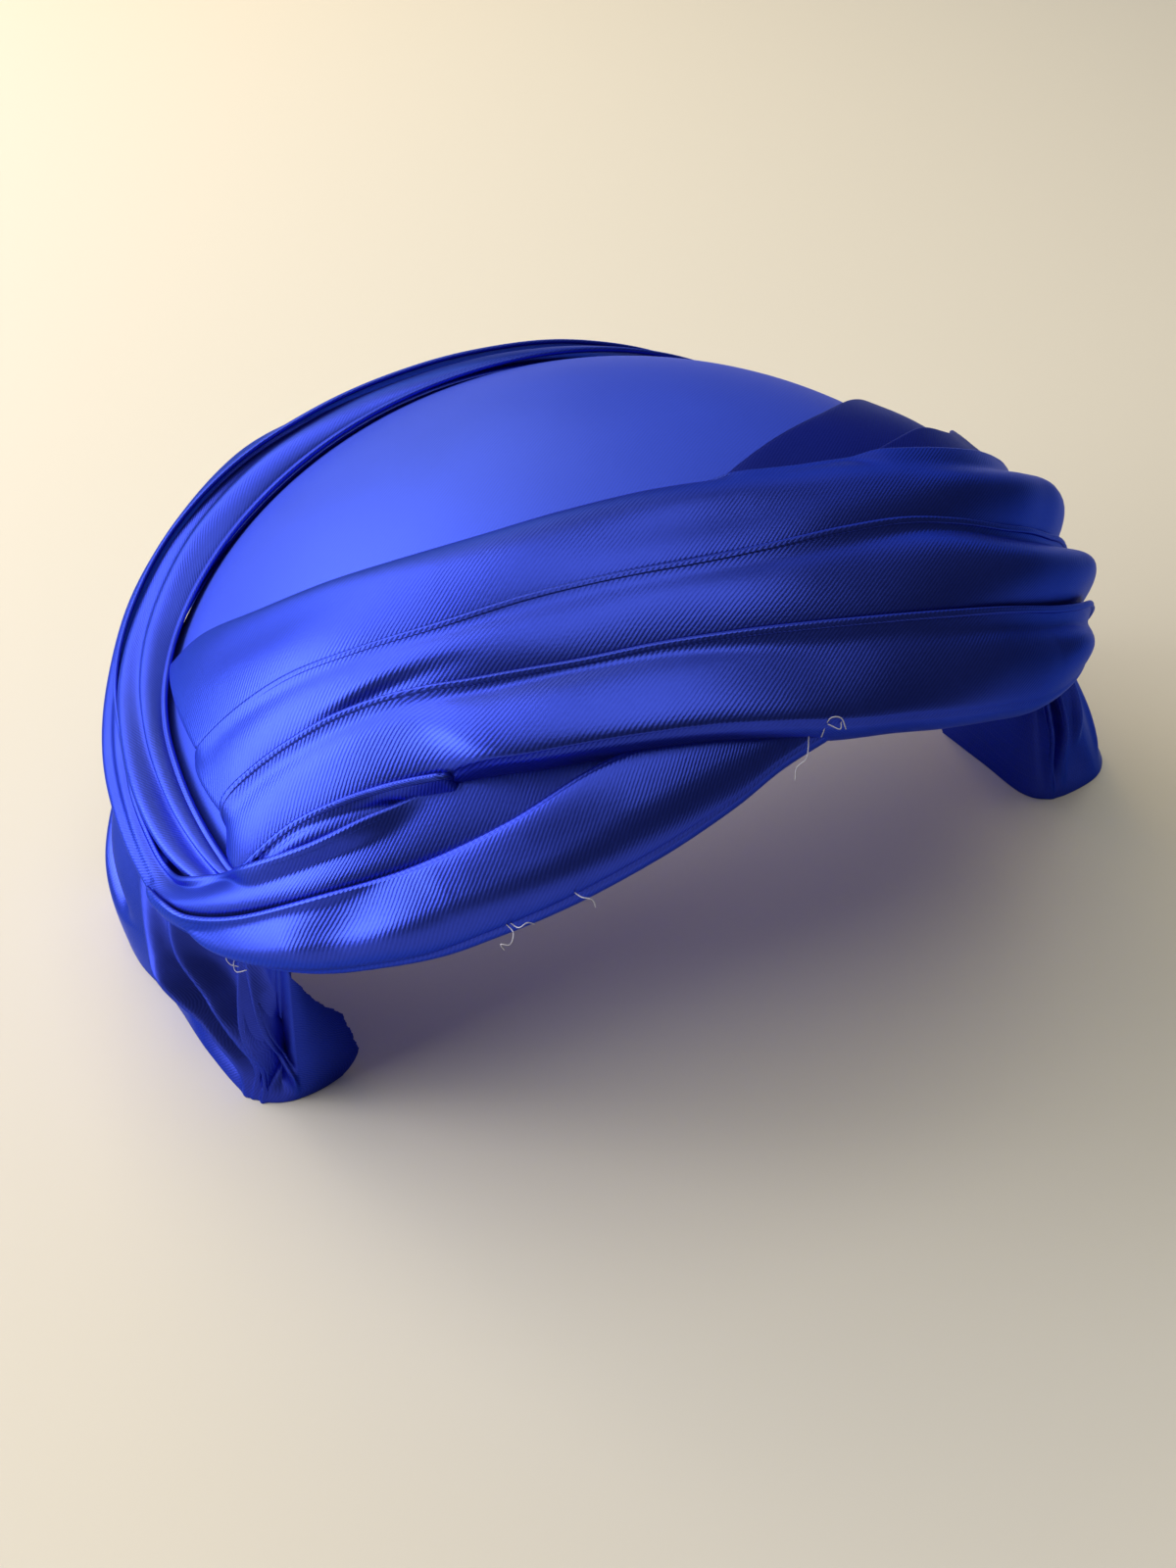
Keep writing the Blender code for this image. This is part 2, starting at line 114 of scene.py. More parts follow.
def half_width(around, across):
    """Half width of the dome. Its ends turn in near the floor, the right front corner most."""
    turn = 1.0 - np.cos(np.radians(around))
    half = HALF_WIDTH_LEFT + (HALF_WIDTH_RIGHT - HALF_WIDTH_LEFT) * turn / 2.0
    left = np.clip(1.0 - around / LEFT_END[0], 0.0, PAST_END) ** 2
    right = np.clip(1.0 - (180.0 - around) / RIGHT_END[0], 0.0, PAST_END) ** 2
    more_in_front = np.clip(1.0 + 2.0 * (0.45 - across), 0.4, 1.6)
    return half - LEFT_END[1] * left - RIGHT_END[1] * right * more_in_front


def place(around, across, height):
    """Position of a place on the dome."""
    y = FRONT_Y + across * BAND_DEPTH
    q = (y - DOME_CENTRE[1]) / DOME_DEPTH_HALF
    s = np.sqrt(np.clip(1.0 - q * q, 0.01, 1.0))
    a = np.radians(around)
    x = DOME_CENTRE[0] - np.cos(a) * s * (half_width(around, across) + height)
    z = DOME_CENTRE[2] + np.sin(a) * s * (DOME_RISE + height)
    return np.stack([x, DOME_CENTRE[1] + q * (DOME_DEPTH_HALF + height), z], axis=-1)


def unit(v):
    return v / np.maximum(np.linalg.norm(v, axis=-1, keepdims=True), 1e-12)


def on_dome(around, across, height):
    """Points on the dome and the outward direction at each."""
    points = place(around, across, height)
    return points, unit(place(around, across, height + 0.001) - points)


print("top of the dome, mm:", np.round(1000 * place(90.0, 0.5, 0.0), 1))

# %% [markdown]
# A fold's edges are drawn as a short table of places, read off the real folds. They could be drawn
# as Bezier curves, but a table is easy to correct by a millimetre, and reading it along a smooth
# curve keeps the edges flowing, as on cloth that was pulled taut and sewn down.

# %% Smooth tables
def smooth_rows(rows, steps):
    """Read a table at evenly spread steps along a smooth curve through its rows."""
    rows = np.array(rows, float)
    count = len(rows)
    padded = np.vstack([2 * rows[0] - rows[1], rows, 2 * rows[-1] - rows[-2]])
    t = np.linspace(0.0, count - 1, steps + 1)
    k = np.minimum(t.astype(int), count - 2)
    f = (t - k)[:, None]
    p0, p1, p2, p3 = padded[k], padded[k + 1], padded[k + 2], padded[k + 3]
    return ((2 * f**3 - 3 * f**2 + 1) * p1 + (f**3 - 2 * f**2 + f) * (p2 - p0) / 2.0
            + (3 * f**2 - 2 * f**3) * p2 + (f**3 - f**2) * (p3 - p1) / 2.0)


def rows_at(rows, around):
    """Read a table at given places around the head."""
    fine = smooth_rows(rows, 40 * (len(rows) - 1))
    return np.stack([np.interp(around, fine[:, 0], fine[:, k]) for k in range(fine.shape[1])], -1)


def lerp(a, b, t):
    return a + (b - a) * t


def smooth_step(value, low, high):
    """0 up to low, 1 from high on, and a soft step between."""
    t = np.clip((value - low) / (high - low), 0.0, 1.0)
    return t * t * (3 - 2 * t)


print("halfway through a short table:", smooth_rows(((0, 0), (1, 1), (2, 0)), 4)[1])

# %% [markdown]
# Each fold rests on what was laid before it. A map of the heights, half a degree by half a
# hundredth fine, remembers the cloth that already lies there. A rigid body or cloth simulation
# could settle the folds too, but the real ones are sewn down, so the map is both faster and
# closer to the photograph.

# %% The pile
LAYER = 0.0015
# The map starts at this place around and across, and has this many cells for a degree and for
# the band's depth.
MAP_START = (-12.0, -0.2)
MAP_FINE = (2.0, 200.0)
MAP_SIZE = (420, 330)
BETWEEN = (0.0, 0.25, 0.5, 0.75)
FADE_OUT = 9.0


class Pile:
    """The height of the cloth over the dome, piece by piece."""

    def __init__(self):
        self.maps = {}

    def cell(self, around, across):
        return (around - MAP_START[0]) * MAP_FINE[0], (across - MAP_START[1]) * MAP_FINE[1]

    def add(self, name, around, across, height):
        """Draw a piece into a map of its own, and thicken it by one cell."""
        raster = np.zeros(MAP_SIZE)
        for f in BETWEEN:
            for g in BETWEEN:
                mix = [lerp(lerp(v[:-1, :-1], v[1:, :-1], f), lerp(v[:-1, 1:], v[1:, 1:], f), g)
                       for v in (around, across, height)]
                i, j = self.cell(mix[0], mix[1])
                i = np.clip(np.rint(i).astype(int), 0, MAP_SIZE[0] - 1)
                j = np.clip(np.rint(j).astype(int), 0, MAP_SIZE[1] - 1)
                np.maximum.at(raster, (i, j), mix[2])
        for axis in (0, 1):
            beside = np.maximum(np.roll(raster, 1, axis), np.roll(raster, -1, axis))
            raster = np.maximum(raster, beside)
        self.maps[name] = raster

    def top(self, under, around, across, soft):
        """Height of the cloth under each place, softened over a few cells. Each piece counts up
        to its own place around, and fades out before it."""
        best = np.zeros(MAP_SIZE)
        angle = (np.arange(MAP_SIZE[0]) / MAP_FINE[0] + MAP_START[0])[:, None]
        for name, last in under:
            counts = 1 - smooth_step(angle, last - FADE_OUT, last)
            best = np.maximum(best, self.maps[name] * counts)
        reach = int(3 * soft) + 1
        shifts = range(-reach, reach + 1)
        weights = np.exp(-0.5 * (np.array(shifts) / soft) ** 2)
        weights /= weights.sum()
        for axis in (0, 1):
            best = sum(w * np.roll(best, k, axis) for k, w in zip(shifts, weights))
        i, j = self.cell(around, across)
        i = np.clip(i, 0, MAP_SIZE[0] - 1.001)
        j = np.clip(j, 0, MAP_SIZE[1] - 1.001)
        i0, j0 = i.astype(int), j.astype(int)
        f, g = i - i0, j - j0
        return (best[i0, j0] * (1 - f) * (1 - g) + best[i0 + 1, j0] * f * (1 - g)
                + best[i0, j0 + 1] * (1 - f) * g + best[i0 + 1, j0 + 1] * f * g)


pile = Pile()


def resting(wish, floor, soft=0.0003):
    """As high as wished, and eased up onto the cloth below."""
    return floor + soft * np.logaddexp(0.0, (wish - floor) / soft)


print("one layer of doubled cloth is", 1000 * LAYER, "mm high")

# %% [markdown]
# Satin has a fine diagonal rib. Its size is fixed on the cloth, so each sheet gets a UV map that
# counts metres along and across the cloth. Blender could unwrap the sheets, but that would stretch
# the rib. The same helper makes the mesh, a flat grid whose points are moved to their places on
# the dome, and gives it a wall.

# %% Sheets of cloth
HAT = bpy.data.collections.new("half_hat")
bpy.context.scene.collection.children.link(HAT)
FLAT = {}
WALL = 0.0005


def add_piece(name, bm, material, node):
    """A smooth piece of the hat with its material, hung on the root; the solid it stands for is
    hidden.
    """
    for face in bm.faces:
        face.smooth = True
    mesh = bpy.data.meshes.new(name)
    bm.to_mesh(mesh)
    bm.free()
    mesh.materials.append(material)
    piece = bpy.data.objects.new(name, mesh)
    HAT.objects.link(piece)
    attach(piece, "root")
    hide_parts(node)
    return piece


def cloth(name, points, node, material, wall=WALL):
    """A sheet of cloth through points[i][j], i along the cloth and j across it."""
    along, over = points.shape[:2]
    step_along = np.linalg.norm(np.diff(points, axis=0), axis=2)
    step_over = np.linalg.norm(np.diff(points, axis=1), axis=2)
    u = np.vstack([np.zeros(over), np.cumsum(step_along, 0)]).mean(1)
    v = np.hstack([np.zeros((along, 1)), np.cumsum(step_over, 1)])
    bm = bmesh.new()
    bmesh.ops.create_grid(bm, x_segments=along - 1, y_segments=over - 1, size=0.5)
    uv_layer = bm.loops.layers.uv.new("cloth")
    grid_place = {}
    for vertex in bm.verts:
        i = round((vertex.co.x + 0.5) * (along - 1))
        j = round((vertex.co.y + 0.5) * (over - 1))
        grid_place[vertex] = (i, j)
        vertex.co = points[i, j]
    for face in bm.faces:
        for loop in face.loops:
            i, j = grid_place[loop.vert]
            loop[uv_layer].uv = (u[i], v[i, j])
    area = sum(face.calc_area() for face in bm.faces)
    piece = add_piece(name, bm, material, node)
    solid = piece.modifiers.new("wall", "SOLIDIFY")
    solid.thickness = wall
    solid.offset = -1.0
    length, width = step_along.sum(0).max(), step_over.sum(1).max()
    FLAT[name] = (width, length, area)
    print(name, "is", round(100 * length, 1), "by", round(100 * width, 1), "cm of cloth")
    return piece


print("the hat's collection:", HAT.name)

# %% [markdown]
# All the pieces are one satin. A material could be copied for each piece, but a node group that
# gives the weave's bump and its flecks of light is built once and placed in each material with
# its own values.

# %% The weave
RIB_SPACING = 0.00042
RIB_TURN = math.radians(52)
# A wave texture of scale 1 repeats after this length.
WAVE_REPEAT = 0.31416
# How many flecks the threads have for a metre along and across the cloth.
FLECKS = (700, 2600, 1)
THREAD_SHARE = 0.45


def add_socket(group, name, direction, value=0.0):
    made = group.interface.new_socket(name=name, socket_type="NodeSocketFloat", in_out=direction)
    made.default_value = value


def set_inputs(node, values):
    """Set some of a node's own sockets, by name or by number."""
    for key, value in values.items():
        node.inputs[key].default_value = value


def add_node(tree, kind, values, **settings):
    """A new shader node with its settings and the values of its own sockets."""
    node = tree.nodes.new("ShaderNode" + kind)
    for key, value in settings.items():
        setattr(node, key, value)
    set_inputs(node, values)
    return node


def weave_group():
    group = bpy.data.node_groups.new("satin_weave", "ShaderNodeTree")
    add_socket(group, "Rib spacing", "INPUT", RIB_SPACING)
    add_socket(group, "Depth", "INPUT", 0.5)
    add_socket(group, "Height", "OUTPUT")
    add_socket(group, "Fleck and rib shade", "OUTPUT")
    links = group.links
    given = group.nodes.new("NodeGroupInput")
    gives = group.nodes.new("NodeGroupOutput")
    uv = add_node(group, "UVMap", {}, uv_map="cloth")
    turn = add_node(group, "Mapping", {"Rotation": (0, 0, RIB_TURN)})
    links.new(uv.outputs["UV"], turn.inputs["Vector"])
    scale = add_node(group, "Math", {0: WAVE_REPEAT}, operation="DIVIDE")
    links.new(given.outputs["Rib spacing"], scale.inputs[1])
    rib = add_node(group, "TexWave", {"Distortion": 1.2, "Detail": 1.0, "Detail Scale": 0.5},
                   wave_profile="SIN")
    links.new(turn.outputs["Vector"], rib.inputs["Vector"])
    links.new(scale.outputs["Value"], rib.inputs["Scale"])
    stretch = add_node(group, "Mapping", {"Scale": FLECKS})
    links.new(uv.outputs["UV"], stretch.inputs["Vector"])
    thread = add_node(group, "TexNoise", {"Scale": 1.0, "Detail": 2.0})
    links.new(stretch.outputs["Vector"], thread.inputs["Vector"])
    blend = add_node(group, "Mix", {"Factor": THREAD_SHARE}, data_type="FLOAT")
    links.new(rib.outputs["Fac"], blend.inputs[2])
    links.new(thread.outputs["Fac"], blend.inputs[3])
    depth = add_node(group, "Math", {}, operation="MULTIPLY")
    links.new(blend.outputs[0], depth.inputs[0])
    links.new(given.outputs["Depth"], depth.inputs[1])
    links.new(depth.outputs["Value"], gives.inputs["Height"])
    # The rib that gives the bump also goes out to colour the satin: painted shade in its hollows
    # and painted light on its raised threads, mixed with the threads' random flecks.
    links.new(blend.outputs[0], gives.inputs["Fleck and rib shade"])
    return group


WEAVE = weave_group()
print("weave group gives", [s.name for s in WEAVE.interface.items_tree if s.in_out == "OUTPUT"])

# %% [markdown]
# The satin itself is a deep blue that reflects in its own colour, because the shine of dyed silk
# comes from the threads. A velvet or a plain fabric shader would look dull, so this one is mostly
# metallic. The colour is painted darker in the weave's hollows and lighter on its raised threads,
# painted shade and painted light along the rib, and the thread flecks and a soft cloudiness vary
# the tone at random. All of these change the roughness a little. The crown, the folds, the folds at
# the side and the tips each have their own depth. The crown's copy is painted lighter, painted
# sheen, and the side folds' copy darker, painted shade, for one satin whose grain turns to or from
# the light.

# %% The satins
REFLECTED_BLUE = (0.30, 0.42, 1.0, 1.0)
SHEEN_BLUE = (0.35, 0.42, 1.0, 1.0)
CLOUDS = 55.0
ROUGHNESS_RANGE = (-0.05, 0.07)
BUMP_STRENGTH = 0.5
BUMP_HEIGHT = 0.00012


def satin(name, deep, lit, roughness, ribs, metallic=0.9):
    """deep and lit are the colours of the weave's hollows and of its raised threads: painted shade
    and painted light along the rib, mixed with random tone.
    """
    material = bpy.data.materials.new(name)
    material.use_nodes = True
    tree, links = material.node_tree, material.node_tree.links
    shader = tree.nodes["Principled BSDF"]
    set_inputs(shader, {"Metallic": metallic, "Specular Tint": REFLECTED_BLUE,
                        "Specular IOR Level": 0.25, "Sheen Weight": 0.04,
                        "Sheen Roughness": 0.4, "Sheen Tint": SHEEN_BLUE})
    weave = add_node(tree, "Group", {"Depth": ribs}, node_tree=WEAVE)
    cloudy = add_node(tree, "TexNoise", {"Scale": CLOUDS, "Detail": 3.0})
    where = add_node(tree, "TexCoord", {})
    links.new(where.outputs["Object"], cloudy.inputs["Vector"])
    both = add_node(tree, "Mix", {"Factor": 0.5}, data_type="FLOAT")
    links.new(weave.outputs["Fleck and rib shade"], both.inputs[2])
    links.new(cloudy.outputs["Fac"], both.inputs[3])
    # The base colour is painted darker in the weave's hollows and lighter on its raised threads,
    # mixed with random tone from the flecks and the cloudiness.
    colour = add_node(tree, "Mix", {6: (*deep, 1), 7: (*lit, 1)}, data_type="RGBA")
    links.new(both.outputs[0], colour.inputs["Factor"])
    links.new(colour.outputs[2], shader.inputs["Base Color"])
    rough = add_node(tree, "MapRange", {"To Min": roughness + ROUGHNESS_RANGE[0],
                                        "To Max": roughness + ROUGHNESS_RANGE[1]})
    links.new(both.outputs[0], rough.inputs["Value"])
    links.new(rough.outputs["Result"], shader.inputs["Roughness"])
    bump = add_node(tree, "Bump", {"Strength": BUMP_STRENGTH, "Distance": BUMP_HEIGHT})
    links.new(weave.outputs["Height"], bump.inputs["Height"])
    links.new(bump.outputs["Normal"], shader.inputs["Normal"])
    return material


# All four are one satin: the crown's copy is painted lighter, painted sheen, and the side folds'
# copy darker, painted shade, for grain that turns to or from the light.
CROWN_SATIN_PAINTED_SHEEN = satin("crown_satin", (0.038, 0.078, 0.700), (0.056, 0.112, 0.920), 0.46, 0.30, 0.60)
FOLD_SATIN = satin("fold_satin", (0.018, 0.034, 0.370), (0.046, 0.084, 0.740), 0.35, 0.60)
SIDE_SATIN_PAINTED_SHADE = satin("side_satin_painted_shade", (0.010, 0.016, 0.200), (0.022, 0.034, 0.360), 0.42, 0.60)
TIP_SATIN = satin("tip_satin", (0.012, 0.022, 0.270), (0.048, 0.080, 0.680), 0.31, 0.45)
print("satins:", CROWN_SATIN_PAINTED_SHEEN.name, FOLD_SATIN.name, SIDE_SATIN_PAINTED_SHADE.name, TIP_SATIN.name)

# %% [markdown]
# The crown is the smooth, stiff band that carries everything. It could be an egg cut out of a
# sphere, but a grid laid on the dome has its edges where the real band has them. Each row of its
# table gives a place around and the band's front and back edge there.

# %% The crown
CROWN = ((30.5, .290, .935), (36, .195, .990), (44, .110, 1.03), (54, .065, 1.05), (72, .040, 1.06),
         (92, .040, 1.065), (108, .038, 1.06), (124, .070, 1.05), (136, .125, 1.03),
         (144, .220, .99), (148.5, .285, .95))
CROWN_ALONG = 150
CROWN_OVER = 70
BAND_WALL = 0.0024


def crown():
    around = np.linspace(CROWN[0][0], CROWN[-1][0], CROWN_ALONG)
    table = rows_at(CROWN, around)
    across = lerp(table[:, 1:2], table[:, 2:3], np.linspace(0, 1, CROWN_OVER))
    angles = np.repeat(around[:, None], CROWN_OVER, 1)
    return cloth("crown_band", place(angles, across, 0 * across), "crown",
                 CROWN_SATIN_PAINTED_SHEEN, wall=BAND_WALL)


crown()

# %% [markdown]
# A laid fold is low at both edges and full near its upper third. Its upper edge is folded, so the
# cloth turns down there and a little under itself. An edge could be left as a cut sheet with a
# bevel, but a doubled edge catches the light as a thin bright line, which is what folds are
# drawn by.

# %% The cross-section of a fold
TUCK = 0.0006
HEM_DROP = 0.0032
HEM_REACH = 0.0013
HEM_BACK = 0.0060
EDGE_COLUMNS = 10


def fold_shape(share, lean=0.80, fullness=0.42, edge=0.0, tail=0.0):
    """Full at the upper third. edge and tail say how high its upper and lower edges stay."""
    share = np.clip(share, 0.0, 1.0)
    bow = np.maximum(np.sin(np.pi * share ** lean), 0.0) ** fullness
    low = np.where(share ** lean < 0.5, edge, tail)
    return low + (1 - low) * bow


def round_edge(points, outward, drop, reach, back=0.0, columns=8, inner=3):
    """Carry the cloth round its last column, down by drop, and back under itself. The edge faces
    away from the column that lies inner columns before it."""
    edge, up = points[:, -1], outward[:, -1]
    side = edge - points[:, -1 - inner]
    side = unit(side - up * (side * up).sum(-1, keepdims=True))
    drop = np.broadcast_to(drop, len(points))[:, None]
    more = [edge + side * reach * math.sin(a) - up * drop * (1 - math.cos(a)) / 2.0
            for a in np.linspace(0, math.pi, columns)[1:]]
    if back:
        more.append(more[-1] - side * back)
    return (np.concatenate([points, np.stack(more, 1)], 1),
            np.concatenate([outward, np.repeat(up[:, None], len(more), 1)], 1))


def flipped(points, outward):
    return points[:, ::-1], outward[:, ::-1]


def turned(points, outward):
    return points.swapaxes(0, 1), outward.swapaxes(0, 1)


def upper_edge(points, outward, drop, reach):
    """Turn the first column down, and a little under itself."""
    return flipped(*round_edge(*flipped(points, outward), drop, reach, TUCK, EDGE_COLUMNS))


def hemmed(points, outward, height):
    """Roll the last column round the band's front edge and back inside it."""
    return round_edge(points, outward, height[:, -1] + HEM_DROP, HEM_REACH, HEM_BACK, EDGE_COLUMNS)


print("height at the upper third:", round(float(fold_shape(np.array(0.38))), 2))

# %% [markdown]
# Pulled cloth has small creases and soft dents. Each is a short line on the dome with a depth and
# a width, which fades at both ends. Where a fold was pressed in two, the line is a small step. A
# sculpted map could hold them too, but a line keeps each crease where the real one is.

# %% Creases
DEGREE = 0.0014
LINE_STEPS = 60


def crease(angles, across, line, depth, width, step=0.0, metres=(DEGREE, BAND_DEPTH)):
    """Change of height near a line of places. step lifts one side of it and lowers the other.
    metres says how long one unit along and across is."""
    fine = smooth_rows(line, LINE_STEPS)
    x, y = angles * metres[0], across * metres[1]
    lx, ly = fine[:, 0] * metres[0], fine[:, 1] * metres[1]
    best = np.full(np.shape(x), 1e9)
    along = np.zeros(np.shape(x))
    signed = np.zeros(np.shape(x))
    for k in range(len(fine) - 1):
        dx, dy = lx[k + 1] - lx[k], ly[k + 1] - ly[k]
        t = np.clip(((x - lx[k]) * dx + (y - ly[k]) * dy) / (dx * dx + dy * dy), 0, 1)
        ox, oy = x - lx[k] - t * dx, y - ly[k] - t * dy
        far = np.hypot(ox, oy)
        near = far < best
        best = np.where(near, far, best)
        along = np.where(near, (k + t) / (len(fine) - 1), along)
        signed = np.where(near, np.sign(dx * oy - dy * ox) * far, signed)
    fade = np.sin(np.pi * np.clip(along, 0, 1)) ** 1.3
    bell = np.exp(-(best / width) ** 2)
    return fade * bell * (depth + step * signed / width)


CREASES = {
    # line of places, depth, width, step
    "upper_fold": (
        (((48, .372), (52, .357), (56, .341), (60, .320), (65, .290)), -0.0004, 0.0011, 0.0009),
    ),
    "lower_fold": (
        (((34, .190), (38, .172), (43, .157), (50, .122)), -0.0011, 0.0036, 0.0),
        (((37, .140), (42, .122), (48, .098)), 0.0003, 0.0034, 0.0),
        (((52, .112), (60, .080), (68, .058)), -0.0004, 0.0028, 0.0),
    ),
    "top_fold": (
        (((40, .640), (52, .540), (66, .420)), -0.0005, 0.0032, 0.0),
        (((74, .360), (92, .310), (112, .318)), -0.0004, 0.0026, 0.0),
    ),
    "front_fold": (
        (((40, .330), (50, .290), (62, .215)), -0.0005, 0.0034, 0.0),
        (((68, .170), (84, .118), (102, .080)), -0.0004, 0.0032, 0.0),
        (((122, .100), (130, .120), (138, .160)), 0.0008, 0.0030, 0.0),
    ),
}


def creases(name, angles, across):
    total = np.zeros(np.shape(angles))
    for line, depth, width, step in CREASES.get(name, ()):
        total += crease(angles, across, line, depth, width, step)
    return total


def ripple(angles, share, size, seed):
    """A very soft unevenness along a fold: three waves that don't repeat."""
    a = angles / 57.3
    waves = (np.sin(7.1 * a + 2.2 * share + seed)
             + 0.7 * np.sin(13.3 * a - 3.1 * share + 2.3 * seed)
             + 0.5 * np.sin(23.7 * a + 4.3 * share + 4.1 * seed))
    return size * waves / 2.2


print("pieces with creases:", sorted(CREASES))

# %% [markdown]
# Three long folds cross the hat, two more fan out over its right side, and a short one lies below
# the left end of the front fold. Each is drawn as a strip between two edges. The strips could be
# cut from a flat sheet and pulled into place by a simulation, but the real folds are sewn down,
# and drawn edges keep each one where it is sewn.

# %% The folds' edges
# Each row: around, upper edge, lower edge, rise, and how far the lower edge lifts. The last two
# are shares of the full rise.
FULL_RISE = 0.0100
FOLDS = {
    "side_back_fold": (
        (92, .380, .30, .20, 0), (100, .440, .31, .22, 0), (110, .516, .32, .24, 0),
        (119, .603, .35, .28, 0), (125, .655, .38, .30, 0), (131, .700, .42, .32, 0),
        (138, .760, .46, .42, 0), (144, .800, .49, .46, 0), (150, .820, .52, .34, 0)),
    "side_front_fold": (
        (108, .378, .31, .30, 0), (114, .424, .34, .36, 0), (120, .471, .36, .40, 0),
        (126, .500, .40, .40, 0), (131, .550, .43, .44, 0), (137, .620, .47, .54, 0),
        (144, .670, .50, .54, 0), (150, .680, .52, .38, 0)),
    "top_fold": (
        (37.3, .730, .51, .30, 0), (43, .690, .480, .34, 0), (50, .612, .445, .38, 0),
        (57, .549, .395, .40, 0), (64, .492, .350, .40, 0), (71, .449, .318, .40, 0),
        (78, .421, .288, .42, 0), (85, .400, .265, .44, 0), (92, .380, .252, .46, 0),
        (99, .370, .252, .49, 0), (106, .376, .255, .53, 0), (113, .384, .258, .58, 0),
        (120, .404, .268, .64, 0), (126, .434, .285, .72, 0), (132, .470, .312, .82, 0),
        (138, .508, .340, .98, 0), (144, .538, .372, .96, 0), (150, .560, .405, .50, 0)),
    "upper_fold": (
        (36.9, .508, .378, .40, 0), (43, .484, .386, .44, 0), (50, .447, .352, .46, 0),
        (57, .397, .312, .47, 0), (64, .351, .260, .48, 0), (71, .319, .218, .48, 0),
        (78, .289, .190, .48, 0), (85, .265, .165, .49, 0), (92, .253, .146, .50, 0),
        (99, .252, .134, .52, 0), (106, .256, .130, .56, 0), (113, .259, .134, .62, 0),
        (120, .268, .145, .66, 0), (126, .286, .162, .70, 0), (132, .311, .190, .76, 0),
        (138, .343, .228, .82, 0), (144, .378, .264, .72, 0), (150, .410, .298, .36, 0)),
    "front_fold": (
        (34.6, .372, .300, .40, 0), (38, .396, .285, .48, 0), (43, .386, .265, .50, 0),
        (50, .356, .236, .52, 0), (54, .334, .216, .53, .02), (57, .314, .202, .54, .12),
        (60, .291, .183, .55, .32), (64, .260, .156, .56, .38),
        (71, .218, .120, .58, .38), (78, .190, .090, .56, .34), (85, .165, .063, .52, .28),
        (92, .146, .043, .48, .16), (99, .134, .034, .47, .10), (106, .130, .029, .48, .06),
        (113, .134, .033, .49, .05), (120, .145, .044, .49, .04), (126, .162, .068, .48, .02),
        (132, .189, .104, .44, 0), (138, .226, .150, .38, 0), (144, .262, .196, .29, 0),
        (150, .296, .240, .16, 0)),
    "small_fold": (
        (35, .315, .300, .38, 0), (38, .306, .276, .50, 0), (43, .289, .246, .54, 0),
        (48, .262, .216, .44, 0), (51.5, .240, .206, .26, 0), (54, .222, .201, .08, 0),
        (55.8, .208, .200, .0, 0)),
}
print("folds between two edges:", sorted(FOLDS))

# %% [markdown]
# A fold is laid over what is already there: the top fold on the crown and the two side folds, the
# next one on the top fold's lower edge, and so on. The part that the next fold will cover lies
# down flat, and that fold's edge presses a narrow groove into it, which gives the dark lines
# between the folds. In front the folds are pressed flat. Over the right ear they are round.

# %% Laying a fold
# Between these degrees a fold goes from flat to round. Both have their lean and fullness.
ROUNDS = (100.0, 128.0)
LEAN = (0.80, 1.10)
FULLNESS = (0.60, 0.90)
THINS = (44.0, 55.0)
THIN_BY = 0.0010
RIPPLE = 0.00022
# The groove's depth, and over which share of the fold it sinks in.
GROOVE = 0.0021
GROOVE_SHARE = (0.93, 0.99)
LEAST_GAP = 0.0004
CELLS_SOFT = 2.2
# How far the edges turn down (at least and at most), stand out, and run back.
UPPER_DROP = (0.0005, 0.0012)
UPPER_REACH = 0.0005
LOWER_DROP = LAYER - 0.0003 - WALL
LOWER_REACH = 0.0006
LOWER_BACK = 0.0010


def eased(count):
    """Shares from 0 to 1 that are closest together at both ends."""
    return (1 - np.cos(np.linspace(0, np.pi, count))) / 2.0


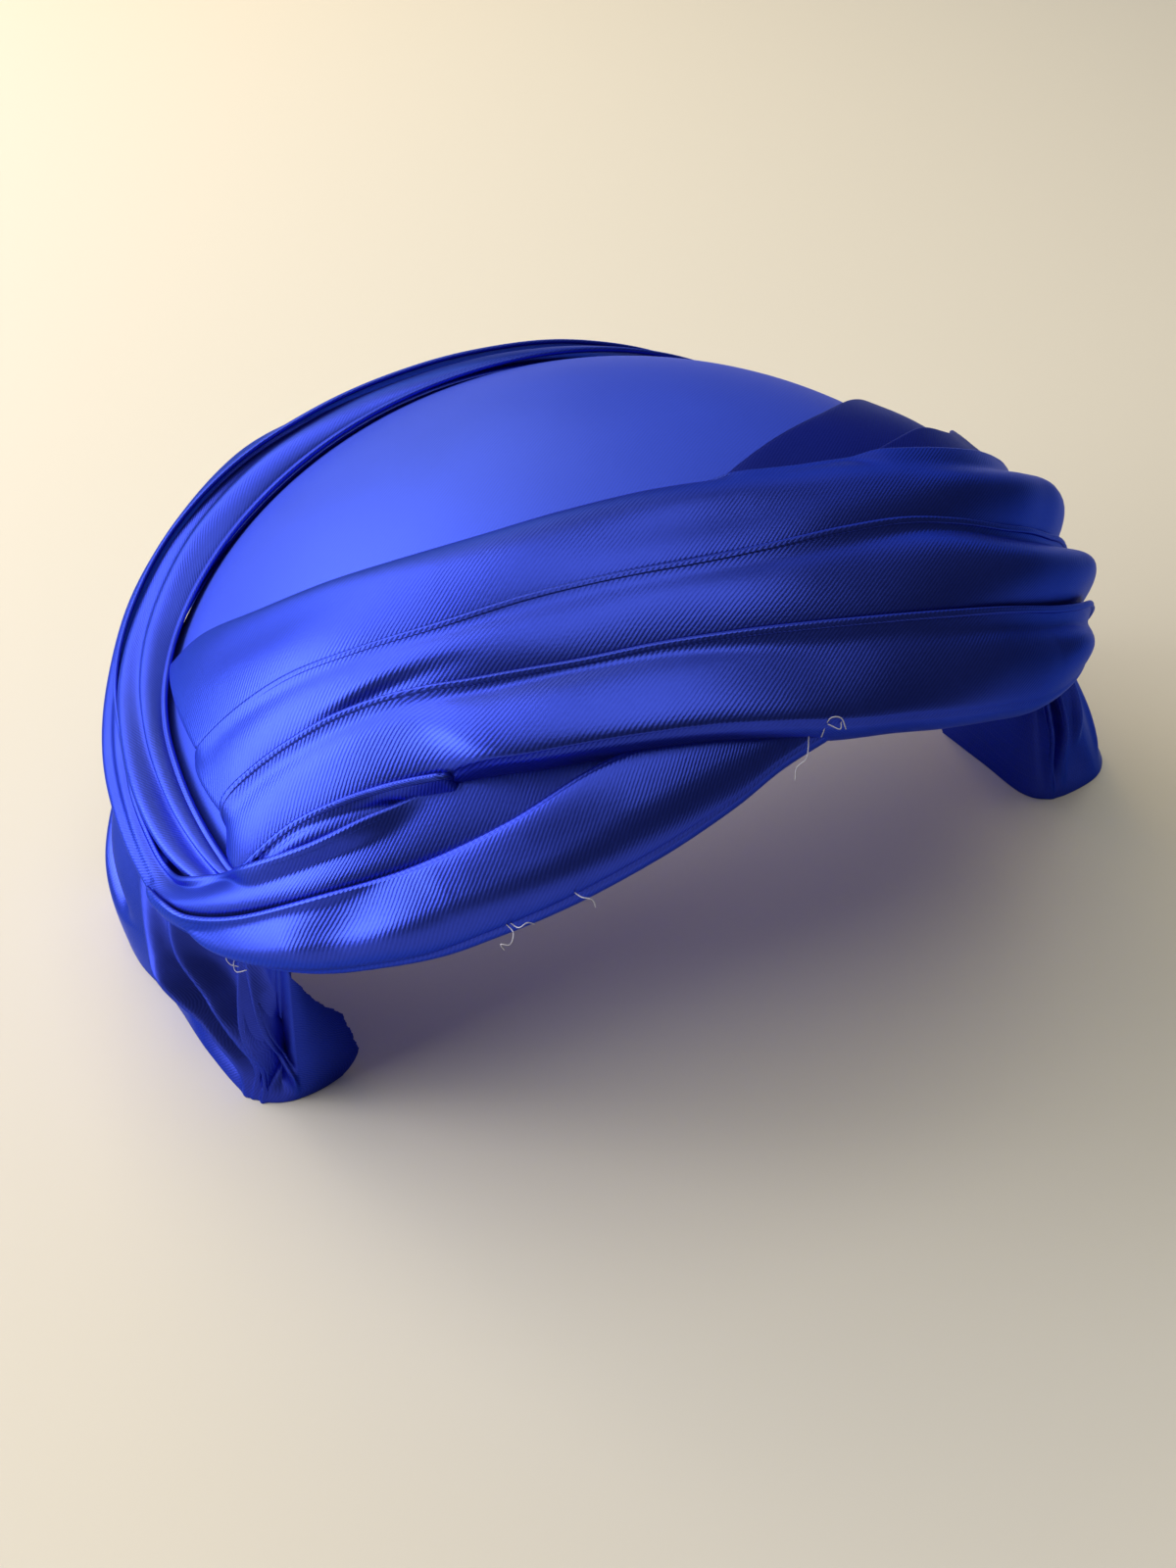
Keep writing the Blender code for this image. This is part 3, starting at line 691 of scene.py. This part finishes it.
def laid_fold(name, under, underlap, seed, hem=False, tail=0.55, thin_end=False, along=260,
              over=34):
    """A fold between two edges. The next fold covers the share underlap. With hem, the lower edge
    is rolled round the crown's front edge. With thin_end, the fold runs out to a thin end."""
    rows = FOLDS[name]
    around = np.linspace(rows[0][0], rows[-1][0], along)
    table = rows_at(rows, around)
    share = eased(over)
    if underlap:
        share = np.concatenate([share, 1 + underlap * np.linspace(0.3, 1, 4)])
    visible = np.clip(share, 0, 1)
    across = lerp(table[:, 1:2], table[:, 2:3], visible) - np.maximum(share - 1, 0)
    angles = np.repeat(around[:, None], across.shape[1], 1)
    rise, lift = table[:, 3:4] * FULL_RISE, table[:, 4:5] * FULL_RISE
    roundness = smooth_step(angles, *ROUNDS)
    shape = fold_shape(visible, lerp(*LEAN, roundness), lerp(*FULLNESS, roundness),
                       0.30 * (1 - 0.7 * roundness), tail * (1 - 0.9 * roundness))
    shape = shape * (1 - smooth_step(share, 1.0, 1.0 + max(underlap, 0.01)))
    layer = LAYER - (THIN_BY * smooth_step(angles, *THINS) if thin_end else 0.0)
    wish = layer + np.maximum(rise - layer, 0) * shape + lift * visible**2
    wish = wish + (creases(name, angles, across) + ripple(angles, visible, RIPPLE, seed)) * shape
    floor = pile.top(under, angles, across, CELLS_SOFT)
    height = resting(wish, floor + layer, 0.0001 if thin_end else 0.0003)
    pile.add(name, angles, across, height)
    if underlap or name.startswith("side"):
        height = height - GROOVE * smooth_step(share, *GROOVE_SHARE) * (1 - 0.4 * roundness)
    height = np.maximum(height, floor + WALL + LEAST_GAP)
    points, outward = on_dome(angles, across, height)
    drop = np.clip(0.40 * (height - floor)[:, 0], *UPPER_DROP)
    points, outward = upper_edge(points, outward, drop, UPPER_REACH)
    if hem:
        points, outward = hemmed(points, outward, height)
    elif not underlap:
        points, outward = round_edge(points, outward, LOWER_DROP, LOWER_REACH, LOWER_BACK)
    left_drop = (height - floor)[0].max() - WALL - 0.0002
    right_drop = (height - floor)[-1].max() + 0.0010
    points, outward = turned(points, outward)
    points, outward = round_edge(points, outward, right_drop, 0.0010, inner=4)
    points, outward = flipped(*round_edge(*flipped(points, outward), left_drop, 0.0006, inner=4))
    points, outward = turned(points, outward)
    # The side folds get the darker copy of the satin, painted shade.
    satin_used = SIDE_SATIN_PAINTED_SHADE if name.startswith("side") else FOLD_SATIN
    return cloth(name + "_cloth", points[:, ::-1], name, satin_used)


print("a groove between two folds is", 1000 * GROOVE, "mm deep")

# %% [markdown]
# Two rolls of cloth follow a bent path: along the back edge, down the left side and round the ear
# to the front. The fold along the front edge bends too. They could be tubes on a curve, but a tube
# has one width, and these grow, flatten and split. So each row of their table gives both edges.

# %% The rolls' edges
# Each row: around and across of the upper edge, then of the lower edge, and the rise.
PATHS = {
    "inner_roll": (
        (135, .99, 135, 1.010, .15), (130, .975, 130, 1.035, .16), (112, .975, 112, 1.060, .18),
        (90, .970, 90, 1.085, .30), (70, .995, 70, 1.090, .48), (56, .985, 55, 1.080, .68),
        (46, .937, 43, 1.045, .76), (38.5, .845, 33.4, .960, .74), (34.6, .75, 28.4, .830, .68),
        (33.0, .66, 26.8, .695, .62), (32.5, .56, 26.0, .575, .58), (32.2, .46, 26.2, .465, .50),
        (32.2, .375, 28.4, .372, .36), (32.8, .330, 31.2, .318, .20)),
    "outer_roll": (
        (139, 1.03, 139, 1.050, .15), (133, 1.04, 133, 1.095, .16), (114, 1.03, 114, 1.12, .20),
        (90, 1.035, 90, 1.14, .34), (70, 1.035, 70, 1.15, .60), (54, 1.025, 53, 1.14, .94),
        (43, .985, 40, 1.11, .96), (35, .905, 30.6, 1.03, .90), (29.8, .805, 24.8, .92, .80),
        (27.2, .70, 21.6, .77, .70), (26.2, .60, 20.9, .63, .62), (25.8, .51, 21.6, .49, .58),
        (26.5, .440, 23.2, .405, .60), (29.5, .385, 26.3, .340, .58), (35, .320, 32, .266, .56),
        (42.5, .256, 39.5, .196, .50), (50, .220, 48.5, .143, .36), (57, .200, 57, .112, .22),
        (65, .166, 65, .098, .08), (74, .128, 74, .088, .02)),
    "lower_fold": (
        (24.8, .440, 24.2, .425, .46), (25.9, .400, 24.4, .360, .52), (27.7, .345, 25.9, .285, .58),
        (33, .272, 32, .185, .62), (41, .202, 41, .100, .60), (49, .150, 49, .058, .56),
        (58, .120, 58, .030, .52), (68, .112, 68, .018, .44), (77, .096, 77, .022, .32),
        (84, .080, 84, .036, .23), (90, .066, 90, .046, .20)),
}
# Valleys along a roll: progress, then place, width and depth of two of them, as shares.
SPLITS = {
    "inner_roll": (
        (0, .5, .2, 0, .8, .1, 0), (.30, .40, .12, .10, .85, .08, 0),
        (.55, .34, .12, .30, .85, .08, .10), (.70, .32, .13, .55, .84, .09, .16),
        (.85, .36, .15, .90, .84, .10, .10), (1, .40, .16, .90, .84, .10, 0)),
    "outer_roll": (
        (0, .5, .2, 0, .8, .1, 0), (.30, .36, .09, .08, .72, .08, .05),
        (.50, .34, .09, .16, .70, .08, .08), (.60, .34, .09, .08, .66, .08, .04),
        (.66, .36, .09, 0, .66, .08, 0), (1, .4, .1, 0, .66, .1, 0)),
}
print("pieces on a bent path:", sorted(PATHS))

# %% [markdown]
# A roll is laid as a fold is, but across its own path. The valleys that run along it are pressed
# into its cross-section. Where it has come round to the front, the next fold covers its lower
# edge, so that edge lies low.

# %% Laying a roll
# Between these shares of the band's depth a roll has come round to the front.
FRONT = (0.40, 0.30)
ROLL_RIPPLE = 0.00018
ROLL_CELLS_SOFT = 3.0
ROLL_UPPER_DROP = (0.0005, 0.0016)
ROLL_UPPER_REACH = 0.0006
ROLL_LOWER_DROP = LAYER - 0.0002 - WALL
ROLL_LOWER_REACH = 0.0005


def path_fold(name, steps, under, seed, over=44, hem=False, hidden=False):
    """A fold that follows a bent path. A hidden one only takes its room in the pile."""
    table = smooth_rows(PATHS[name], steps)
    share = eased(over)
    angles = lerp(table[:, 0:1], table[:, 2:3], share)
    across = lerp(table[:, 1:2], table[:, 3:4], share)
    rise = table[:, 4:5] * FULL_RISE
    front = smooth_step(table[:, 1:2], *FRONT)
    edge, tail = (0.80, 0.0) if hem else (0.45, 0.05)
    shape = fold_shape(share, 1.0, 0.6, edge * front, tail * front)
    if name in SPLITS:
        split = rows_at(SPLITS[name], np.linspace(0, 1, steps + 1))
        for k in (1, 4):
            at, width, depth = split[:, k:k + 1], split[:, k + 1:k + 2], split[:, k + 2:k + 3]
            shape = shape - depth * np.exp(-((share - at) / width) ** 2)
        shape = np.maximum(shape, 0.0)
    wish = LAYER + np.maximum(rise - LAYER, 0) * shape
    uneven = ripple(angles + 40 * across, share, ROLL_RIPPLE, seed)
    wish = wish + (creases(name, angles, across) + uneven) * shape
    floor = pile.top(under, angles, across, ROLL_CELLS_SOFT)
    height = resting(wish, floor + LAYER)
    pile.add(name, angles, across, height)
    if hidden:
        return None
    points, outward = on_dome(angles, across, height)
    drop = np.clip(0.5 * (height - floor)[:, 0], *ROLL_UPPER_DROP)
    points, outward = upper_edge(points, outward, drop, ROLL_UPPER_REACH)
    if hem:
        points, outward = hemmed(points, outward, height)
    else:
        points, outward = round_edge(points, outward, ROLL_LOWER_DROP, ROLL_LOWER_REACH, LOWER_BACK)
    return cloth(name + "_cloth", points[:, ::-1], name, FOLD_SATIN)


print("a roll's lower edge turns down by", round(1000 * ROLL_LOWER_DROP, 2), "mm")

# %% [markdown]
# At each ear the cloth is gathered: it hangs from under the folds to the floor, and its pleats run
# together at the foot, which stands flat. A cloth simulation with pins could gather it, but the
# pleats would fall where they like. Here the wall runs from a line on the floor to a line under
# the folds, and each pleat is a ridge along its own line.

# %% The tips' tables
# Each row: x and y of the foot, around, across and height of the head, and how far the wall
# swells out between them.
TIPS = {
    "left_tip": (
        (.670, .320, 31, .345, -.65, 0), (.725, .300, 30.5, .290, -.50, 0),
        (.775, .288, 30, .266, -.36, 0), (.820, .285, 30, .259, -.22, 0),
        (.862, .290, 30, .264, -.10, 0), (.896, .308, 29.7, .285, -.03, .02),
        (.924, .345, 29.5, .330, 0, .04), (.952, .435, 29.5, .430, 0, .14),
        (.975, .550, 29.5, .560, 0, .34), (1.010, .650, 29.5, .710, 0, .52),
        (1.014, .740, 29.5, .830, 0, .58), (.985, .820, 29.5, .940, 0, .50)),
    "right_tip": (
        (.832, .546, 31, .520, -.60, 0), (.857, .412, 31, .420, -.60, 0),
        (.876, .314, 31, .335, -.56, 0), (.930, .278, 30.5, .283, -.40, 0),
        (1.030, .280, 30.5, .262, -.20, 0), (1.094, .302, 30.5, .280, -.05, 0),
        (1.132, .350, 30.5, .340, 0, 0), (1.138, .440, 30.5, .440, 0, 0),
        (1.138, .552, 30.5, .570, 0, 0), (1.120, .649, 30.5, .700, 0, 0),
        (1.080, .742, 30.5, .820, 0, 0)),
}
# The cloth's own raw edge, as a share of the table, from the foot upwards.
RAW_EDGE = {
    "left_tip": ((0, .125), (.03, .070), (.08, .040), (.27, .040), (.35, .055), (.67, .200),
                 (.80, .290), (1, .300)),
    "right_tip": ((0, .02), (1, .0)),
}
# Pleats and the valleys between them: line of (along, up), height, width.
PLEATS = {
    "left_tip": (
        (((.80, .95), (.705, .50), (.650, .36), (.590, .22), (.520, .05), (.465, -.25)),
         .0054, .0014),
        (((.72, .95), (.664, .58), (.620, .45), (.565, .33), (.500, .12), (.455, -.25)),
         .0047, .0011),
        (((.60, .90), (.536, .47), (.468, .22), (.415, -.25)), .0046, .0010),
        (((.62, .98), (.545, .64), (.455, .46), (.380, .32), (.320, .18), (.295, .02)),
         .0038, .0011),
        (((1.0, .95), (.95, .66), (.90, .48), (.84, .36), (.80, .26)), -.0052, .0024),
    ),
    "right_tip": (
        (((.300, 1.2), (.312, .60), (.300, .30), (.285, -.25)), .0026, .0012),
        (((.385, 1.2), (.375, .65), (.345, .35), (.320, -.05)), .0026, .0013),
        (((.50, 1.1), (.46, .62), (.40, .28)), .0014, .0012),
        (((.64, 1.05), (.61, .60), (.55, .30), (.49, .00)), .0012, .0016),
    ),
}
# Where the wall is pressed in between the pleats: start, end and depth.
DENTS = {"left_tip": (.29, .68, .0042), "right_tip": (.24, .46, .0012)}
print("pleats and valleys:", {name: len(lines) for name, lines in PLEATS.items()})

# %% [markdown]
# The wall reaches a little below the floor, and a plane cuts it off there, so that its foot lies
# flat however deep the pleats are. Its points could be pressed flat instead, but that would crowd
# them. The raw edge is uneven, with a slight fray.

# %% The ear tips
TIP_STEPS = 600
TIP_METRES = (0.079, 0.044)
TIP_WALL = 0.0008
BELOW_FLOOR = -0.06
CUT_HEIGHT = 0.0001
# Where the head is at least this high, the wall is on the tip's outside.
OUTSIDE_HEIGHT = -0.06
# The raw edge's waves: size, as a share, pace and start.
FRAY = ((0.0020, 61, 0.0), (0.0016, 143, 1.0), (0.0012, 331, 0.0))


def tip_frame(name, flip):
    """Foot and head of the tip's wall, finely read, with the share where its outside begins."""
    table = smooth_rows(TIPS[name], TIP_STEPS)
    side = 1.0 if flip else -1.0
    foot = np.stack([DOME_CENTRE[0] + side * table[:, 0] * HALF_WIDTH_LEFT,
                     FRONT_Y + table[:, 1] * BAND_DEPTH, np.zeros(len(table))], -1)
    around = 180.0 - table[:, 2] if flip else table[:, 2]
    head = place(around, table[:, 3], table[:, 4] * FULL_RISE)
    outside = int(np.argmax(table[:, 4] > OUTSIDE_HEIGHT)) / TIP_STEPS
    return foot, head, table[:, 5] * FULL_RISE, outside


def pleated(name, a, t):
    """How far the wall stands out at the share a along it and t up it."""
    ridges, valleys = 0.0, 0.0
    for line, height, width in PLEATS[name]:
        bump = crease(a, np.broadcast_to(t, a.shape), line, height, width, metres=TIP_METRES)
        ridges, valleys = np.maximum(ridges, bump), np.minimum(valleys, bump)
    start, end, depth = DENTS[name]
    dent = depth * smooth_step(a, start, start + 0.08) * smooth_step(a, end, end - 0.08)
    low = smooth_step(t, -0.02, 0.22)
    return ridges * (0.20 + 0.80 * low) + np.minimum(valleys, -dent * low * (1 - 0.4 * t))


def cut_foot(piece):
    """Cut the wall off at the floor, and measure what is left."""
    bm = bmesh.new()
    bm.from_mesh(piece.data)
    bmesh.ops.bisect_plane(bm, geom=bm.verts[:] + bm.edges[:] + bm.faces[:],
                           plane_co=(0, 0, CUT_HEIGHT), plane_no=(0, 0, 1), clear_inner=True)
    FLAT[piece.name] = FLAT[piece.name][:2] + (sum(face.calc_area() for face in bm.faces),)
    bm.to_mesh(piece.data)
    bm.free()


def tip(name, flip, along=330, up=112):
    """The gathered wall of a tip."""
    foot, head, swell, outside = tip_frame(name, flip)
    t = np.linspace(BELOW_FLOOR, 1.0, up + 1)[:, None]
    raw = rows_at(RAW_EDGE[name], np.clip(t[:, 0], 0, 1))[:, 1:2]
    fray = sum(size * np.sin(pace * t + start) for size, pace, start in FRAY)
    share = np.linspace(0, 1, along + 1)[None, :]
    a = share + raw * (1 - share) ** 3 + fray * (1 - share) ** 60
    pick = np.linspace(0, 1, TIP_STEPS + 1)
    foot_at = np.stack([np.interp(a, pick, foot[:, k]) for k in range(3)], -1)
    head_at = np.stack([np.interp(a, pick, head[:, k]) for k in range(3)], -1)
    points = foot_at + (head_at - foot_at) * t[:, :, None]
    turn = np.clip((a - outside) / 0.20 + 0.5, 0, 1)
    outward = unit(np.stack([(1.0 if flip else -1.0) * turn, turn - 1], -1))
    push = np.interp(a, pick, swell) * np.sin(np.pi * np.clip(t, 0, 1)) + pleated(name, a, t)
    points[:, :, :2] += push[:, :, None] * outward
    if flip:
        points = points[::-1]
    piece = cloth(name + "_cloth", points, name, TIP_SATIN, wall=TIP_WALL)
    cut_foot(piece)
    return piece


left_tip = tip("left_tip", False)
right_tip = tip("right_tip", True)

# %% [markdown]
# Now everything is laid in the order in which it was sewn. Each piece could be set on the ones
# below it by eye, but in this order the map finds its height. The rolls come first along the back.
# The outer roll is the last but one at the front, where it lies on the small fold, and the side
# folds still need to know where it runs. So it is laid once unseen and once for good. It slips
# from over the front fold's end to under its edge, which is why those pieces count only up to a
# place around.

# %% Lay everything
def whole(*names):
    """Pieces that lie under another one over their whole length."""
    return [(name, 360.0) for name in names]


inner_roll = path_fold("inner_roll", 300, [], 1.0)
path_fold("outer_roll", 360, whole("inner_roll"), 2.0, hidden=True)
rolls = whole("inner_roll", "outer_roll")
side_back = laid_fold("side_back_fold", rolls, 0.0, 3.0, tail=0.25, along=160)
side_front = laid_fold("side_front_fold", rolls + whole("side_back_fold"), 0.0, 4.0,
                       tail=0.25, along=160)
sides = whole("side_back_fold", "side_front_fold")
top_fold = laid_fold("top_fold", sides, 0.045, 5.0)
upper_fold = laid_fold("upper_fold", sides + whole("top_fold"), 0.045, 6.0)
front_fold = laid_fold("front_fold", sides + whole("top_fold", "upper_fold"), 0.0, 7.0,
                       hem=True, tail=0.3)
small_fold = laid_fold("small_fold", whole("front_fold"), 0.018, 8.0, tail=0.50,
                       thin_end=True, along=130)
crossed = whole("inner_roll") + [("small_fold", 57.0), ("front_fold", 46.0)]
outer_roll = path_fold("outer_roll", 360, crossed, 2.0)
lower_fold = path_fold("lower_fold", 240, whole("outer_roll"), 9.0, hem=True)
print("laid in order:", ", ".join(pile.maps))

# %% [markdown]
# Each piece's size as a flat sheet of cloth was noted when it was made, and the sheets are counted
# here. The folds and rolls are folded, and the tips gathered. The crown isn't a loose sheet: it
# lies on a stiff band.

print(len(FLAT) - 1, "sheets of cloth")

# %% [markdown]
# A few threads have come loose from the seams: where the front fold meets the lower one, and along
# the front edge. A thread is a thin round tube that curls off the cloth. A curve object would do
# too, but a grid wrapped round a line keeps it a mesh like the rest.

# %% Loose threads
THREAD_COLOUR = (0.42, 0.44, 0.58, 1)
THREAD_RADIUS = 0.00007


def plain_material(name, values):
    material = bpy.data.materials.new(name)
    material.use_nodes = True
    set_inputs(material.node_tree.nodes["Principled BSDF"], values)
    return material


THREAD = plain_material("pale_thread", {"Base Color": THREAD_COLOUR, "Roughness": 0.6})


def thread(name, node, places, sides=8, steps=60):
    """A tube along a smooth line of places: around, across, height in millimetres."""
    line = smooth_rows(places, steps)
    middle = place(line[:, 0], line[:, 1], line[:, 2] / 1000.0)
    ahead = unit(np.gradient(middle, axis=0))
    side = unit(np.cross(ahead, (0.3, 0.2, 0.93)))
    up = np.cross(side, ahead)
    turn = np.linspace(0, 2 * math.pi, sides + 1)
    ring = np.cos(turn)[None, :, None] * side[:, None] + np.sin(turn)[None, :, None] * up[:, None]
    points = middle[:, None] + THREAD_RADIUS * ring
    bm = bmesh.new()
    bmesh.ops.create_grid(bm, x_segments=steps, y_segments=sides, size=0.5)
    for vertex in bm.verts:
        vertex.co = points[round((vertex.co.x + 0.5) * steps), round((vertex.co.y + 0.5) * sides)]
    bmesh.ops.remove_doubles(bm, verts=bm.verts, dist=1e-7)
    bmesh.ops.holes_fill(bm, edges=bm.edges)
    bmesh.ops.recalc_face_normals(bm, faces=bm.faces)
    return add_piece(name, bm, THREAD, node)


THREADS = (
    ("thread_join_1", "front_fold", (
        (87.6, .056, 3.4), (88.6, .050, 4.4), (89.6, .040, 4.8), (90.4, .047, 4.2),
        (91.2, .040, 3.6))),
    ("thread_join_2", "front_fold", (
        (88.2, .040, 3.0), (88.9, .052, 5.0), (89.9, .049, 5.4), (90.3, .038, 4.6))),
    ("thread_join_3", "lower_fold", (
        (87.0, .045, 3.0), (86.0, .034, 4.0), (85.2, .026, 4.4), (84.2, .022, 3.6),
        (83.6, .012, 3.2))),
    ("thread_edge_1", "lower_fold", (
        (51.0, .052, 1.6), (51.4, .040, 3.4), (50.6, .034, 4.4), (50.0, .040, 4.6),
        (49.6, .034, 3.8))),
    ("thread_edge_2", "lower_fold", (
        (51.4, .050, 1.6), (52.2, .040, 3.6), (53.2, .038, 3.8), (53.6, .032, 3.2))),
    ("thread_edge_3", "lower_fold", (
        (58.4, .034, 1.6), (58.9, .024, 3.2), (59.6, .016, 3.4), (59.3, .008, 2.6))),
    ("thread_turn_1", "lower_fold", (
        (26.6, .290, 1.8), (25.8, .282, 3.0), (25.4, .272, 3.2), (26.2, .262, 2.6))),
    ("thread_turn_2", "lower_fold", (
        (26.4, .300, 1.8), (25.4, .300, 2.8), (25.0, .290, 2.8), (25.2, .280, 2.2))),
)
threads = [thread(*row) for row in THREADS]
print(len(threads), "loose threads")

# %% [markdown]
# The hat stands on a plain pale floor. A sphere or a curved backdrop could stand behind it, but
# the camera looks down and sees only the floor.

# %% The floor
FLOOR_HALF = 2.5
FLOOR_GREY = (0.70, 0.70, 0.70, 1)


def make_floor():
    bm = bmesh.new()
    bmesh.ops.create_grid(bm, x_segments=1, y_segments=1, size=FLOOR_HALF)
    mesh = bpy.data.meshes.new("table_top")
    bm.to_mesh(mesh)
    bm.free()
    floor = bpy.data.objects.new("table_top", mesh)
    bpy.context.scene.collection.objects.link(floor)
    mesh.materials.append(plain_material("table_top", {
        "Base Color": FLOOR_GREY, "Roughness": 0.85, "Specular IOR Level": 0.2}))
    return floor


floor = make_floor()
print("floor is", floor.dimensions.x, "m wide")

# %% [markdown]
# Soft light falls from the left and from behind, as from a window, and warm light comes back from
# the room. One bright lamp would give hard shadows, and a picture of a room as a world would be an
# image file. So five soft panels stand round the hat, 90 cm away, each with its own warmth.

# %% The light
LAMP_DISTANCE = 0.9
LAMP_SIZE = 0.70
LAMP_AIM = Vector((0, 0, 0.03))
# Name, direction from the hat, power in watts, colour.
LAMPS = (
    ("window_low", (-0.95, 0.24, 0.25), 9.0, (1.0, 0.94, 0.80)),
    ("window_back", (-0.55, 0.50, 0.60), 4.9, (1.0, 0.92, 0.86)),
    ("room_back", (-0.10, 0.85, 0.50), 3.4, (1.0, 0.74, 0.34)),
    ("ceiling", (0.0, 0.0, 1.0), 2.9, (1.0, 0.93, 0.70)),
    ("room_right", (0.60, 0.60, 0.50), 0.7, (0.85, 0.95, 1.0)),
)
WORLD_COLOUR = (1.0, 0.86, 0.66, 1)
WORLD_STRENGTH = 0.08


def soft_lamp(name, direction, power, colour):
    light = bpy.data.lights.new(name, "AREA")
    light.size = LAMP_SIZE
    light.energy = power
    light.color = colour
    lamp = bpy.data.objects.new(name, light)
    bpy.context.scene.collection.objects.link(lamp)
    lamp.location = Vector(direction).normalized() * LAMP_DISTANCE
    lamp.rotation_euler = (LAMP_AIM - lamp.location).to_track_quat("-Z", "Y").to_euler()
    return lamp


lamps = [soft_lamp(*row) for row in LAMPS]
world = bpy.data.worlds.new("soft_room")
bpy.context.scene.world = world
world.use_nodes = True
set_inputs(world.node_tree.nodes["Background"], {"Color": WORLD_COLOUR, "Strength": WORLD_STRENGTH})
bpy.context.scene.view_settings.view_transform = "Standard"
print("lamps:", [lamp.name for lamp in lamps])
